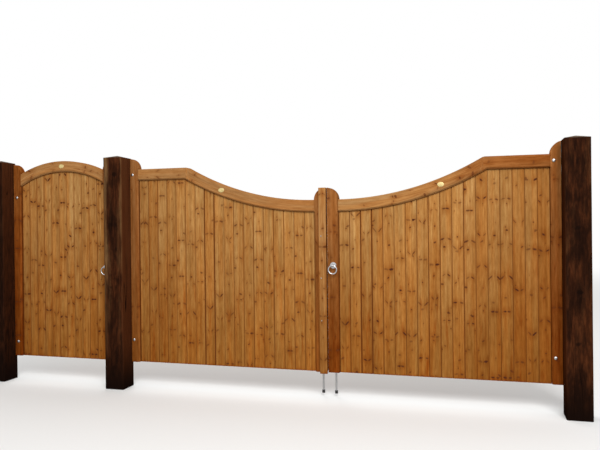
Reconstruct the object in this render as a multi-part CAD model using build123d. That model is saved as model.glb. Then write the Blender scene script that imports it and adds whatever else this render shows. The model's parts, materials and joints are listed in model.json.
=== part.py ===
"""Timber driveway gateway: a pair of swan-neck leaves with an arched side gate on three square posts.

Millimetres. Origin at the centre of the middle post's foot, +Z up, +X along the gateway to the right
as seen from the road, +Y from the road into the drive. Both drive leaves and the side gate open
inwards, towards +Y.
"""
from build123d import *
from math import acos, atan2, degrees, hypot, sin, sqrt
import os

# Posts and the two openings between them
POST_WIDTH = 175.0
POST_HEIGHT = 2036.0
POST_CAP_RISE = 22.0
POST_ARRIS = 5.0
DRIVE_OPENING = 3600.0
SIDE_OPENING = 1065.0
POST_TO_GATE = 142.0

# Running gaps between the leaves and what is beside them
GROUND_GAP = 217.0
HINGE_GAP = 5.5
MEETING_GAP = 16.0
CLOSING_GAP = 8.0

# Framing timber
FRAME_THICKNESS = 70.0
HANGING_STILE = 76.5
MEETING_STILE = 93.0
RAIL_DEPTH = 98.0
HORN_RADIUS = 98.0
BOARD_RECESS = 25.0
BOARD_THICKNESS = 18.0
FRAME_CHAMFER = 11.0
ARRIS = 3.0
LEDGE_WIDTH = 145.0
BRACE_WIDTH = 95.0

# Drive leaves: flat top beside the hinges, then a hollow curve down to the meeting stile
LEAF_HEIGHT = 1720.0
LEAF_LOW_HEIGHT = 1415.0
FLAT_LENGTH = 554.5
KINK_ROUNDING = 60.0
LEAF_MIDDLE_LEDGE = 850.0
LEAF_BANDS = (198.0, LEAF_HEIGHT - RAIL_DEPTH / 2)

# Side gate: an arched top rail
SIDE_CROWN_HEIGHT = 1823.0
SIDE_ARCH_RADIUS = 965.0
SIDE_MIDDLE_LEDGE = 815.0
SIDE_BANDS = (135.0, 1494.0)

# Strip on the left leaf's meeting stile, reaching over the joint between the two drive leaves
STRIP_WIDTH = 62.0
STRIP_THICKNESS = 20.0
STRIP_REACH = 10.5
STRIP_BELOW = 10.0

# Bands and hooks of the hinges
BAND_WIDTH = 50.0
BAND_THICKNESS = 7.0
BAND_LENGTH = 440.0
PIN_RADIUS = 8.0
PIN_CLEARANCE = 0.5
EYE_WALL = 7.0
PIN_BEYOND_EDGE = 25.5
PIN_ABOVE_EYE = 6.0
HOOK_ARM = 14.0
HOOK_PLATE_WIDTH = 50.0
HOOK_PLATE_HEIGHT = 110.0
HOOK_PLATE = 6.0
SEAT = 0.3

# Ring latches
LATCH_HEIGHT = 1094.0
LATCH_INSET = 49.0
SIDE_LATCH_HEIGHT = 1065.0
SIDE_LATCH_INSET = 62.0
ROSE_RADIUS = 25.5
ROSE_THICKNESS = 3.0
BOSS_RADIUS = 13.0
BOSS_HEIGHT = 11.0
SPINDLE_RADIUS = 7.0
SPINDLE_CLEARANCE = 1.0
RING_RADIUS = 34.0
RING_WIRE = 5.0
RING_CLEARANCE = 0.75
RING_STAND_OFF = 31.0
HEAD_RADIUS = 11.0
HEAD_LENGTH = 10.0
BAR_HEIGHT = 30.0
BAR_THICKNESS = 8.0
BAR_CORNER = 6.0
BAR_STAND_OFF = 6.0
BAR_TAIL = 22.0
BAR_OVERLAP = 60.0
KEEP_PLATE = 4.0
KEEP_HEIGHT = 80.0
KEEP_WIDTH = 40.0
KEEP_LEDGE = 8.0

# Drop bolts on the back of the meeting stiles
BOLT_RADIUS = 8.0
BOLT_CLEARANCE = 0.5
BOLT_TIP = 26.0
BOLT_LENGTH = 560.0
BOLT_STAND_OFF = 13.0
BOLT_FOOT_RADIUS = 12.5
BOLT_FOOT_HEIGHT = 26.0
BOLT_HANDLE = 60.0
BOLT_HANDLE_RADIUS = 6.0
COLLAR_RADIUS = 13.0
COLLAR_HEIGHT = 10.0
GUIDE_PLATE = 4.0
GUIDE_WIDTH = 44.0
GUIDE_HEIGHT = 250.0
GUIDE_ABOVE_FOOT = 40.0
LOOP_HEIGHT = 18.0
LOOP_WALL = 7.0

# Plain oval plaques on the top rails
PLAQUE_WIDTH = 52.0
PLAQUE_HEIGHT = 38.0
PLAQUE_THICKNESS = 3.0
LEAF_PLAQUE_X = 875.0

# A face is an underside when the upward part of its normal is below this
UNDERSIDE_NORMAL = -0.5

# Places that follow from the sizes above
POST_HALF = POST_WIDTH / 2
GATE_FRONT = POST_TO_GATE - POST_HALF
POST_BACK = POST_WIDTH - POST_TO_GATE
LEAF_WIDTH = (DRIVE_OPENING - 2 * HINGE_GAP - MEETING_GAP) / 2
SIDE_WIDTH = SIDE_OPENING - HINGE_GAP - CLOSING_GAP
LEDGE_FRONT = BOARD_RECESS + BOARD_THICKNESS
LEDGE_THICKNESS = FRAME_THICKNESS - LEDGE_FRONT
RAIL_TOP = GROUND_GAP + LEAF_HEIGHT
LOW_TOP = GROUND_GAP + LEAF_LOW_HEIGHT
LEFT_POST_X = -(SIDE_OPENING + POST_WIDTH)
RIGHT_POST_X = DRIVE_OPENING + POST_WIDTH
EYE_RADIUS = PIN_RADIUS + PIN_CLEARANCE + EYE_WALL
BAND_BACK = FRAME_THICKNESS + BAND_THICKNESS
PIN_Y = BAND_BACK - EYE_RADIUS
BAR_FRONT = FRAME_THICKNESS + BAR_STAND_OFF
BAR_BACK = BAR_FRONT + BAR_THICKNESS
BOLT_Y = FRAME_THICKNESS + BOLT_STAND_OFF + GUIDE_PLATE

# The hollow curve: an arc level at the meeting stile that meets the flat top at its upper end
NECK_X = LEAF_WIDTH - MEETING_STILE
NECK_RUN = NECK_X - FLAT_LENGTH
NECK_DROP = LEAF_HEIGHT - LEAF_LOW_HEIGHT
NECK_RADIUS = (NECK_RUN**2 + NECK_DROP**2) / (2 * NECK_DROP)
NECK_Z = LOW_TOP + NECK_RADIUS

# The arch of the side gate
ARCH_X = SIDE_WIDTH / 2
ARCH_Z = GROUND_GAP + SIDE_CROWN_HEIGHT - SIDE_ARCH_RADIUS


def block(x, y, z):
    """Box between the two limits given for each direction."""
    size = (x[1] - x[0], y[1] - y[0], z[1] - z[0])
    return Pos(x[0], y[0], z[0]) * Box(*size, align=(Align.MIN, Align.MIN, Align.MIN))


def rectangle(x, z):
    """Flat rectangle between the two limits given for each direction."""
    return Pos(x[0], z[0]) * Rectangle(x[1] - x[0], z[1] - z[0], align=(Align.MIN, Align.MIN))


def upright(outline, front, thickness):
    """Stand a flat outline up, and give it its thickness from the front plane backwards."""
    return Pos(0, front + thickness, 0) * Rot(90, 0, 0) * extrude(outline, thickness)


def rod(radius, start, end):
    """Round bar from one point to another."""
    axis = Vector(*end) - Vector(*start)
    return extrude(Plane(origin=start, z_dir=axis) * Circle(radius), axis.length)


# Leaf parts are drawn with the hinge edge at x = 0, the front face at y = 0 and the ground at z = 0


def swan_line(drop):
    """Edges of the line that runs this far below the top of a drive leaf's rail, hinge side first."""
    radius = NECK_RADIUS + drop
    level = RAIL_TOP - drop
    sweep = acos((NECK_Z - level) / radius)
    kink = NECK_X - radius * sin(sweep)
    arc = CenterArc((NECK_X, NECK_Z), radius, 270 - degrees(sweep), degrees(sweep))
    return [Line((HANGING_STILE, level), (kink, level)), arc]


def arch_line(drop):
    """Edge of the line that runs this far below the top of the side gate's rail."""
    radius = SIDE_ARCH_RADIUS - drop
    left = ARCH_X - HANGING_STILE
    right = SIDE_WIDTH - MEETING_STILE - ARCH_X
    start = degrees(acos(right / radius))
    end = 180 - degrees(acos(left / radius))
    return [CenterArc((ARCH_X, ARCH_Z), radius, start, end - start)]


def line_ends(edges):
    """Leftmost and rightmost points of a line of edges."""
    points = [vertex for edge in edges for vertex in edge.vertices()]
    points.sort(key=lambda vertex: vertex.X)
    return (points[0].X, points[0].Y), (points[-1].X, points[-1].Y)


def rail_outline(line):
    """Outline of a top rail, between its top line and the line below it."""
    top = line(0)
    under = line(RAIL_DEPTH)
    ends = [Line(a, b) for a, b in zip(line_ends(top), line_ends(under))]
    return make_face(top + under + ends)


def field_outline(line):
    """Outline of the space inside the frame, from the foot of the gate to the rail's underside."""
    under = line(RAIL_DEPTH)
    left, right = line_ends(under)
    foot = [(left[0], GROUND_GAP), (right[0], GROUND_GAP)]
    sides = [Line(left, foot[0]), Line(foot[0], foot[1]), Line(foot[1], right)]
    return make_face(under + sides)


def chamfered_rail(outline):
    """Top rail with a chamfer along the front of its underside."""
    rail = upright(outline, 0, FRAME_THICKNESS)
    front = rail.faces().sort_by(Axis.Y)[0].edges()
    undersides = [face for face in rail.faces() if face.normal_at().Z < UNDERSIDE_NORMAL]
    under = [edge for face in undersides for edge in face.edges()]
    return chamfer([edge for edge in front if edge in under], FRAME_CHAMFER)


def stile(width, rail_top, rail_under):
    """Upright with its outer edge at x = 0, crowned by a quarter round above the rail.

    The front arris beside the boards is chamfered up to the underside of the rail."""
    centre = width - HORN_RADIUS
    crown = Pos(centre, rail_top) * Circle(HORN_RADIUS)
    if centre > 0:
        crown += rectangle((0, centre), (rail_top, rail_top + HORN_RADIUS))
    crown &= rectangle((0, width), (rail_top, rail_top + HORN_RADIUS))
    outline = rectangle((0, width), (GROUND_GAP, rail_top)) + crown
    timber = upright(outline, 0, FRAME_THICKNESS)
    corner = Polyline((width, 0), (width - FRAME_CHAMFER, 0), (width, FRAME_CHAMFER), close=True)
    cut = Pos(0, 0, GROUND_GAP) * extrude(make_face(corner), rail_under - GROUND_GAP)
    return timber - cut


def turned(timber, width):
    """The same upright with its outer edge at the far side of a gate this wide."""
    return Pos(width, 0, 0) * mirror(timber, about=Plane.YZ)


def crown_height(width):
    """How far the quarter round of an upright this wide stands above the rail at its outer edge."""
    past_edge = max(HORN_RADIUS - width, 0)
    return sqrt(HORN_RADIUS**2 - past_edge**2)


def ledge(x, height):
    """Level board across the back of the boarding, centred this far above the gate's foot."""
    centre = GROUND_GAP + height
    z = (centre - LEDGE_WIDTH / 2, centre + LEDGE_WIDTH / 2)
    return block(x, (LEDGE_FRONT, FRAME_THICKNESS), z)


def brace(field, x, z):
    """Diagonal board in the part of the field between two heights, rising away from the hinges."""
    run = x[1] - x[0]
    rise = z[1] - z[0] - BRACE_WIDTH
    slope = degrees(atan2(rise, run))
    middle = ((x[0] + x[1]) / 2, (z[0] + z[1]) / 2)
    plank = Pos(*middle) * Rot(0, 0, slope) * Rectangle(2 * hypot(run, rise), BRACE_WIDTH)
    outline = plank & rectangle(x, z) & field
    return upright(outline, LEDGE_FRONT, LEDGE_THICKNESS)


def band(height):
    """Hinge band across the back of a gate, with an eye for the hook's pin behind the post."""
    centre = GROUND_GAP + height
    z = (centre - BAND_WIDTH / 2, centre + BAND_WIDTH / 2)
    end_x = BAND_LENGTH - BAND_WIDTH / 2
    strap = block((-PIN_BEYOND_EDGE, end_x), (FRAME_THICKNESS, BAND_BACK), z)
    strap += rod(BAND_WIDTH / 2, (end_x, FRAME_THICKNESS, centre), (end_x, BAND_BACK, centre))
    foot = (-PIN_BEYOND_EDGE, PIN_Y, z[0])
    head = (-PIN_BEYOND_EDGE, PIN_Y, z[1])
    return strap + rod(EYE_RADIUS, foot, head) - rod(PIN_RADIUS + PIN_CLEARANCE, foot, head)


def hook(height):
    """Pin on a plate on the back of a post: the band's eye drops over it and rests on its arm."""
    eye_foot = GROUND_GAP + height - BAND_WIDTH / 2
    eye_top = eye_foot + BAND_WIDTH
    arm_top = eye_foot - SEAT
    arm_foot = arm_top - HOOK_ARM
    arm_half = PIN_RADIUS + PIN_CLEARANCE
    pin_x = -PIN_BEYOND_EDGE
    plate_right = pin_x + arm_half
    plate_foot = GROUND_GAP + height - HOOK_PLATE_HEIGHT / 2
    plate_x = (plate_right - HOOK_PLATE_WIDTH, plate_right)
    plate_z = (plate_foot, plate_foot + HOOK_PLATE_HEIGHT)
    plate = block(plate_x, (POST_BACK, POST_BACK + HOOK_PLATE), plate_z)
    arm = block((pin_x - arm_half, plate_right), (POST_BACK, PIN_Y), (arm_foot, arm_top))
    cup = rod(arm_half, (pin_x, PIN_Y, arm_foot), (pin_x, PIN_Y, arm_top))
    pin = rod(PIN_RADIUS, (pin_x, PIN_Y, arm_foot), (pin_x, PIN_Y, eye_top + PIN_ABOVE_EYE))
    return plate + arm + cup + pin


def post():
    """Square post with its foot at z = 0 and a low weathered top."""
    side = (-POST_HALF, POST_HALF)
    apex = POST_HEIGHT + POST_CAP_RISE
    shaft = block(side, side, (0, apex))
    shaft = chamfer(shaft.edges().filter_by(Axis.Z), POST_ARRIS)
    for outward in (Vector(1, 0), Vector(-1, 0), Vector(0, 1), Vector(0, -1)):
        slope = Plane(origin=(0, 0, apex), z_dir=outward * POST_CAP_RISE + Vector(0, 0, POST_HALF))
        shaft = split(shaft, bisect_by=slope, keep=Keep.BOTTOM)
    return shaft


def strip():
    """Cover strip on the left leaf's meeting stile. It stops short of the right leaf."""
    right = LEAF_WIDTH + STRIP_REACH
    z = (GROUND_GAP - STRIP_BELOW, LOW_TOP + crown_height(MEETING_STILE))
    timber = block((right - STRIP_WIDTH, right), (-STRIP_THICKNESS, 0), z)
    front = timber.faces().sort_by(Axis.Y)[0].edges()
    return chamfer(front, ARRIS)


def plaque(x, z):
    """Plain oval plate on the front of a rail."""
    face = Plane(origin=(x, 0, z), x_dir=(1, 0, 0), z_dir=(0, -1, 0))
    return extrude(face * Ellipse(PLAQUE_WIDTH / 2, PLAQUE_HEIGHT / 2), PLAQUE_THICKNESS)


def rose(x, z):
    """Round plate and boss on the front of a stile, with a hole for the latch spindle."""
    plate = rod(ROSE_RADIUS, (x, 0, z), (x, -ROSE_THICKNESS, z))
    plate += rod(BOSS_RADIUS, (x, 0, z), (x, -BOSS_HEIGHT, z))
    return plate - spindle_hole(x, z)


def spindle_hole(x, z):
    """Hole for a latch spindle, right through a stile and its rose."""
    return rod(SPINDLE_RADIUS + SPINDLE_CLEARANCE, (x, -BOSS_HEIGHT, z), (x, FRAME_THICKNESS, z))


def spindle(x, z):
    """Latch spindle, with a drilled head for the ring at its front end."""
    half = HEAD_LENGTH / 2
    bore_radius = RING_WIRE + RING_CLEARANCE
    left = (x - half, -RING_STAND_OFF, z)
    right = (x + half, -RING_STAND_OFF, z)
    shaft = rod(SPINDLE_RADIUS, (x, bore_radius - RING_STAND_OFF, z), (x, BAR_FRONT, z))
    return shaft + rod(HEAD_RADIUS, left, right) - rod(bore_radius, left, right)


def ring(x, z):
    """Round ring that hangs in the head of the spindle."""
    return Pos(x, -RING_STAND_OFF, z - RING_RADIUS) * Rot(90, 0, 0) * Torus(RING_RADIUS, RING_WIRE)


def latch_bar(x, z, tip):
    """Flat bar on the back end of the spindle, reaching past the gate's edge to the keep."""
    side = 1 if tip > x else -1
    limits = sorted((x - side * BAR_TAIL, tip))
    bar = block(limits, (BAR_FRONT, BAR_BACK), (z - BAR_HEIGHT / 2, z + BAR_HEIGHT / 2))
    return fillet(bar.edges().filter_by(Axis.Y), BAR_CORNER)


def keep(x, z, base):
    """Plate with a ledge that carries the end of a latch bar. The base is the face it is screwed to."""
    plate_z = (z - BAR_HEIGHT / 2 - KEEP_HEIGHT / 2, z - BAR_HEIGHT / 2 + KEEP_HEIGHT / 2)
    plate = block((x - KEEP_WIDTH / 2, x + KEEP_WIDTH / 2), (base, base + KEEP_PLATE), plate_z)
    top = z - BAR_HEIGHT / 2 - SEAT
    ledge_y = (base, BAR_BACK + KEEP_LEDGE)
    return plate + block((x - KEEP_WIDTH / 2, x + KEEP_WIDTH / 2), ledge_y, (top - KEEP_LEDGE, top))


def bolt_guide(x):
    """Plate on the back of a stile with two loops that the drop bolt slides through."""
    foot = GROUND_GAP + GUIDE_ABOVE_FOOT
    back = FRAME_THICKNESS
    sides = (x - GUIDE_WIDTH / 2, x + GUIDE_WIDTH / 2)
    plate = block(sides, (back, back + GUIDE_PLATE), (foot, foot + GUIDE_HEIGHT))
    bore = BOLT_RADIUS + BOLT_CLEARANCE
    outside = bore + LOOP_WALL
    for z in (foot, foot + GUIDE_HEIGHT - LOOP_HEIGHT):
        ends = (x, BOLT_Y, z), (x, BOLT_Y, z + LOOP_HEIGHT)
        loop = block((x - outside, x + outside), (back, BOLT_Y), (z, z + LOOP_HEIGHT))
        plate += loop + rod(outside, *ends) - rod(bore, *ends)
    return plate


def drop_bolt(x):
    """Drop bolt, lowered: a collar rests on the upper loop, and the foot ends just above the ground."""
    top = BOLT_TIP + BOLT_LENGTH
    bolt = rod(BOLT_RADIUS, (x, BOLT_Y, BOLT_TIP), (x, BOLT_Y, top))
    bolt += rod(BOLT_FOOT_RADIUS, (x, BOLT_Y, BOLT_TIP), (x, BOLT_Y, BOLT_TIP + BOLT_FOOT_HEIGHT))
    seat = GROUND_GAP + GUIDE_ABOVE_FOOT + GUIDE_HEIGHT + SEAT
    bolt += rod(COLLAR_RADIUS, (x, BOLT_Y, seat), (x, BOLT_Y, seat + COLLAR_HEIGHT))
    arm = top - BOLT_HANDLE_RADIUS
    bolt += rod(BOLT_HANDLE_RADIUS, (x, BOLT_Y, arm), (x, BOLT_Y + BOLT_HANDLE, arm))
    return bolt


def drive_leaf():
    """Pieces of a drive leaf, hinge edge at the left."""
    x = (HANGING_STILE, NECK_X)
    field = field_outline(swan_line)
    outline = rail_outline(swan_line)
    kink = outline.vertices().sort_by_distance((FLAT_LENGTH, RAIL_TOP, 0))[0]
    outline = fillet(kink, KINK_ROUNDING)
    meeting = stile(MEETING_STILE, LOW_TOP, LOW_TOP - RAIL_DEPTH)
    low, high = (GROUND_GAP + height for height in (LEAF_BANDS[0], LEAF_MIDDLE_LEDGE))
    half = LEDGE_WIDTH / 2
    middle_radius = NECK_RADIUS + RAIL_DEPTH / 2
    plaque_z = NECK_Z - sqrt(middle_radius**2 - (NECK_X - LEAF_PLAQUE_X) ** 2)
    return {
        "hanging_stile": stile(HANGING_STILE, RAIL_TOP, RAIL_TOP - RAIL_DEPTH),
        "meeting_stile": turned(meeting, LEAF_WIDTH),
        "top_rail": chamfered_rail(outline),
        "boarding": upright(field, BOARD_RECESS, BOARD_THICKNESS),
        "ledges": [ledge(x, LEAF_BANDS[0]), ledge(x, LEAF_MIDDLE_LEDGE)],
        "braces": [
            brace(field, x, (low + half, high - half)),
            brace(field, x, (high + half, LOW_TOP - RAIL_DEPTH)),
        ],
        "bands": [band(height) for height in LEAF_BANDS],
        "plaque": plaque(LEAF_PLAQUE_X, plaque_z),
        "bolt_guide": bolt_guide(LEAF_WIDTH - MEETING_STILE / 2),
        "drop_bolt": drop_bolt(LEAF_WIDTH - MEETING_STILE / 2),
    }


def side_gate():
    """Pieces of the side gate, hinge edge at the left."""
    x = (HANGING_STILE, SIDE_WIDTH - MEETING_STILE)
    field = field_outline(arch_line)
    hanging_top, closing_top = (point[1] for point in line_ends(arch_line(0)))
    hanging_under, closing_under = (point[1] for point in line_ends(arch_line(RAIL_DEPTH)))
    closing = stile(MEETING_STILE, closing_top, closing_under)
    heights = (SIDE_BANDS[0], SIDE_MIDDLE_LEDGE, SIDE_BANDS[1])
    low, middle, high = (GROUND_GAP + height for height in heights)
    half = LEDGE_WIDTH / 2
    return {
        "hanging_stile": stile(HANGING_STILE, hanging_top, hanging_under),
        "closing_stile": turned(closing, SIDE_WIDTH),
        "arched_rail": chamfered_rail(rail_outline(arch_line)),
        "boarding": upright(field, BOARD_RECESS, BOARD_THICKNESS),
        "ledges": [ledge(x, height) for height in heights],
        "braces": [
            brace(field, x, (low + half, middle - half)),
            brace(field, x, (middle + half, high - half)),
        ],
        "bands": [band(height) for height in SIDE_BANDS],
        "plaque": plaque(ARCH_X, ARCH_Z + SIDE_ARCH_RADIUS - RAIL_DEPTH / 2),
    }


def in_place(solids, x, reverse):
    """Move pieces from the leaf's own origin to a hinge edge at x, mirrored for a right-hand leaf."""
    if not isinstance(solids, list):
        solids = [solids]
    if reverse:
        solids = [mirror(solid, about=Plane.YZ) for solid in solids]
    return [Pos(x, GATE_FRONT, 0) * solid for solid in solids]


def latch(prefix, x, z, tip):
    """Rose, spindle, bar and ring of one latch."""
    return {
        prefix + "_rose": rose(x, z),
        prefix + "_spindle": spindle(x, z),
        prefix + "_latch_bar": latch_bar(x, z, tip),
        prefix + "_ring": ring(x, z),
    }


def build():
    """All nodes of the gateway, by name."""
    left_x = POST_HALF + HINGE_GAP
    right_x = POST_HALF + DRIVE_OPENING - HINGE_GAP
    side_x = LEFT_POST_X + POST_HALF + HINGE_GAP
    nodes = {}
    for name, x in (("left", LEFT_POST_X), ("middle", 0), ("right", RIGHT_POST_X)):
        nodes[name + "_post"] = [Pos(x, 0, 0) * post()]
    leaf = drive_leaf()
    latch_x = LEAF_WIDTH - LATCH_INSET
    leaf_hooks = [hook(height) for height in LEAF_BANDS]
    for name, x, reverse in (("left_leaf", left_x, False), ("right_leaf", right_x, True)):
        for piece, solids in leaf.items():
            if piece == "meeting_stile" and reverse:
                solids = solids - spindle_hole(latch_x, LATCH_HEIGHT)
            nodes[f"{name}_{piece}"] = in_place(solids, x, reverse)
    nodes["cover_strip"] = in_place(strip(), left_x, False)
    nodes["middle_post_hooks"] = in_place(leaf_hooks, left_x, False)
    nodes["right_post_hooks"] = in_place(leaf_hooks, right_x, True)

    tip = LEAF_WIDTH + MEETING_GAP + BAR_OVERLAP
    for name, solid in latch("right_leaf", latch_x, LATCH_HEIGHT, tip).items():
        nodes[name] = in_place(solid, right_x, True)
    keep_x = LEAF_WIDTH - BAR_OVERLAP + KEEP_WIDTH / 2
    nodes["left_leaf_keep"] = in_place(keep(keep_x, LATCH_HEIGHT, FRAME_THICKNESS), left_x, False)

    side_latch_x = SIDE_WIDTH - SIDE_LATCH_INSET
    for piece, solids in side_gate().items():
        if piece == "closing_stile":
            solids = solids - spindle_hole(side_latch_x, SIDE_LATCH_HEIGHT)
        nodes["side_gate_" + piece] = in_place(solids, side_x, False)
    side_tip = SIDE_WIDTH + CLOSING_GAP + BAR_OVERLAP
    for name, solid in latch("side_gate", side_latch_x, SIDE_LATCH_HEIGHT, side_tip).items():
        nodes[name] = in_place(solid, side_x, False)
    post_keep = keep(side_tip - KEEP_WIDTH / 2, SIDE_LATCH_HEIGHT, POST_BACK)
    nodes["middle_post_keep"] = in_place(post_keep, side_x, False)
    nodes["left_post_hooks"] = in_place([hook(height) for height in SIDE_BANDS], side_x, False)
    return nodes


os.makedirs("parts", exist_ok=True)
for node, solids in build().items():
    shape = solids[0] if len(solids) == 1 else Compound(children=solids)
    export_step(shape, f"parts/{node}.step")
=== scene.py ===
"""Timber driveway gateway with its finishes, boards and fixings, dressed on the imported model.

Metres, +Z up, +X along the gateway, +Y into the drive. Each piece follows the model's own sizes.
"""
import json
import random
from collections import namedtuple
from math import atan2, cos, pi, radians, sin

import bmesh
import bpy
import numpy as np
from mathutils import Matrix, Vector, noise


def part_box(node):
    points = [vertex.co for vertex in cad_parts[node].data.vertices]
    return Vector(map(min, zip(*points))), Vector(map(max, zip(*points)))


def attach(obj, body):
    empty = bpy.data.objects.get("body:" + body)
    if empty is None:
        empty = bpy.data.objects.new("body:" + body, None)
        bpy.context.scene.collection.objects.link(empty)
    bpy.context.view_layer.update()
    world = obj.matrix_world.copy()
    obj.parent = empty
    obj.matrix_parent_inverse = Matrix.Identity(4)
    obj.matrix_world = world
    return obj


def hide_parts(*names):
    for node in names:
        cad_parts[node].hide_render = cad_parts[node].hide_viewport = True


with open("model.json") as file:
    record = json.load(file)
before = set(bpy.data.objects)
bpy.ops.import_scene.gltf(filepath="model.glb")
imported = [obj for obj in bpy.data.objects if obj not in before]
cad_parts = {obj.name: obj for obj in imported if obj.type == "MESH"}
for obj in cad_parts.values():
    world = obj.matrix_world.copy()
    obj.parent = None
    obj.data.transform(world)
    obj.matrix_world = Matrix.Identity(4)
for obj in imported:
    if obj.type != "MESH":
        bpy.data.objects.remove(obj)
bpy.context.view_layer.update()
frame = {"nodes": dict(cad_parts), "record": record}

BODY = {node: body for body, nodes in frame["record"]["behaviour"]["bodies"].items() for node in nodes}
SLOT = {part["node"]: part["material_slot"] for part in frame["record"]["subparts"]}
LEAVES = ("left_leaf", "right_leaf", "side_gate")
DRIVE_LEAVES = LEAVES[:2]
LATCHED_LEAVES = LEAVES[1:]
POSTS = ("left_post", "middle_post", "right_post")
X, Y, Z = range(3)
FRONT = (0.0, -1.0, 0.0)
BACK = (0.0, 1.0, 0.0)

# Camera: where it stands, how it is turned in degrees, and its focal length and sensor width in mm
CAMERA_PLACE = (3.0518, -4.9333, 1.434)
CAMERA_YAW = 15.523
CAMERA_PITCH = -0.09
CAMERA_ROLL = -0.604
CAMERA_LENS = 37.51
SENSOR_WIDTH = 36.0

# Light, and the floor: its reach, and the distances between which it fades into the background
WORLD_STRENGTH = 0.62
LAMP_AIM = (1.3, 0.0, 1.0)
LAMP_SIZE = 5.0
LAMPS = {"key": ((4.5, -7.5, 7.0), 900.0), "fill": ((-3.0, 8.0, 6.0), 420.0)}
FLOOR_REACH = 60.0
FLOOR_FADE = (5.0, 18.0)

# Timber sizes that the finishes need, and how far and in how many steps the edges are rounded
BOARDS = {"left_leaf": 18, "right_leaf": 18, "side_gate": 11}
RAIL_DEPTH = 0.098
FLAT_LENGTH = 0.5545
SIDE_ARCH_RADIUS = 0.965
FRAME_ARRIS = 0.002
MEETING_ARRIS = 0.0008
RAIL_ARRIS = 0.003
POST_ARRIS = 0.0015
METAL_ARRIS = 0.0008
ARRIS_STEPS = 2

# Welding distance and angles for cleaning the solids' faces
WELD = 1e-5
FLAT_ANGLE = radians(0.4)
SHARP_ANGLE = radians(35)

# How far apart the curved rails are cut, so that their grain can follow the curve
RAIL_STEP = 0.04

# Sawn faces of the posts: distances between their cuts, least and most that they stand out, and turns
# of their unevenness in a metre across, along and from face to face
SAWN_STEP = {X: 0.035, Y: 0.035, Z: 0.06}
SAWN_SWELL = (0.0021, 0.0029)
SAWN_TURNS = (9.0, 3.5, 5.0)

# Tongued and grooved boards with V joints, where the stain is thick. A few joints have opened, and the
# outer joints beside the stiles are darkened as painted shade
V_JOINT = 0.003
BACK_JOINT = 0.0015
TONGUE_FRONT = 0.0075
TONGUE_BACK = 0.0115
TONGUE_LENGTH = 0.005
TONGUE_PLAY = 0.0007
JOINT_GAP = (0.0002, 0.0006)
OPEN_JOINT_GAP = 0.0016
OPEN_JOINTS = {"left_leaf": (7, 8), "right_leaf": (2, 3), "side_gate": ()}
JOINT_EDGE = 0.55
BACK_JOINT_EDGE = 0.3
JOINT_SHADE = 0.0045
JOINT_STAIN = (0.45, 1.3)
OPEN_JOINT_STAIN_AND_STILE_SHADE = 1.5
FACE_STRIPS = 4
BOARD_LENGTHS = 6

# Dark at both ends of the boards, and the share of a board's length that it reaches into. At the top,
# under the rail, it is painted shade; at the foot it is stain in the end grain
END_STAIN_AND_RAIL_SHADE = 0.75
END_SHARE = 0.006

# Chance in the boards: its start, and the most that a board stands back and its pattern is moved up
BOARD_CHANCE = 11
BOARD_STAND = 0.0006
BOARD_SHIFT = 1.5

# Tone of the boards at even steps across each leaf, how far one board departs from it, and how much
# painted shade lowers it towards the foot. The right leaf's fall towards its hinge end is painted shade too
BOARD_TONES = {"left_leaf": (0.4, 0.68, 0.8, 0.92, 1.0), "right_leaf": (0.9, 0.97, 0.8, 0.62, 0.25),
               "side_gate": (0.4, 0.7, 0.75, 0.92, 0.55)}
BOARD_TONE_SPREAD = {"left_leaf": 0.12, "right_leaf": 0.18, "side_gate": 0.15}
BOARD_FOOT_SHADE = {"left_leaf": 0.05, "right_leaf": 0.35, "side_gate": 0.05}

# Tones of the frames' timbers, at even steps along an axis. The stiles took the stain darker. The right
# rail's fall towards its hinge end and the right stiles' fall towards their feet are painted shade
FRAME_TONES = {
    "left_leaf_hanging_stile": (Z, 0.36),
    "left_leaf_meeting_stile": (Z, 0.32),
    "left_leaf_top_rail": (X, 0.85, 0.7),
    "right_leaf_hanging_stile": (Z, 0.15, 0.3),
    "right_leaf_meeting_stile": (Z, 0.02, 0.48),
    "right_leaf_top_rail": (X, 1.0, 1.0, 0.85, 0.3, 0.1),
    "side_gate_hanging_stile": (Z, 0.0),
    "side_gate_closing_stile": (Z, 0.3),
    "side_gate_arched_rail": (X, 0.85),
    "cover_strip": (Z, 0.95),
}
LEDGE_TONE = 0.8
BRACE_TONE = 0.75

# Wear of the posts to tan, from left to right, and blackness of their stain, from the foot up
POST_WEAR = {"left_post": (0.35, 0.3), "middle_post": (1.3, 1.0, 0.2, 0.0, 0.2, 1.0),
             "right_post": (0.35, 0.2, 0.2, 0.4)}
POST_BLACK = {"left_post": (0.75, 0.66, 0.48, 0.15), "middle_post": (0.25, 0.0, 0.0),
              "right_post": (0.0, 0.06, 0.36, 0.48)}

# How dark the knots are: in the frames and posts, and in the boards of each leaf
KNOT_BOLDNESS = 1.0
BOARD_BOLDNESS = {"left_leaf": 0.8, "right_leaf": 0.98, "side_gate": 1.2}

# Seeds of the wood's pattern: one for each post, and elsewhere the first seed and the step to the next.
# A seed moves the pattern this far across, into and along the grain
POST_SEEDS = {"left_post": 0.173, "middle_post": 0.483, "right_post": 0.793}
FRAME_SEEDS = (0.037, 0.0917)
LEDGE_SEEDS = (0.21, 0.27)
BRACE_SEEDS = (0.34, 0.23)
GRAIN_SHIFT = (31.0, 17.0, 53.0)

# Kinds of knots, with turns of the seed, reach from the middle, half width and half height
KnotKind = namedtuple("KnotKind", "turns spacing share reach wide high lean paired")
SPIKE_KNOTS = KnotKind(37.0, 0.27, 0.6, 0.034, 0.015, 0.008, 1.2, True)
ROUND_KNOTS = KnotKind(41.3, 0.25, 0.55, 0.036, 0.0115, 0.0085, 0.6, False)
PIN_KNOTS = KnotKind(47.9, 0.17, 0.4, 0.04, 0.005, 0.005, 0.2, False)
POST_KNOTS = KnotKind(37.0, 0.42, 0.75, 0.055, 0.024, 0.019, 0.4, False)

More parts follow.
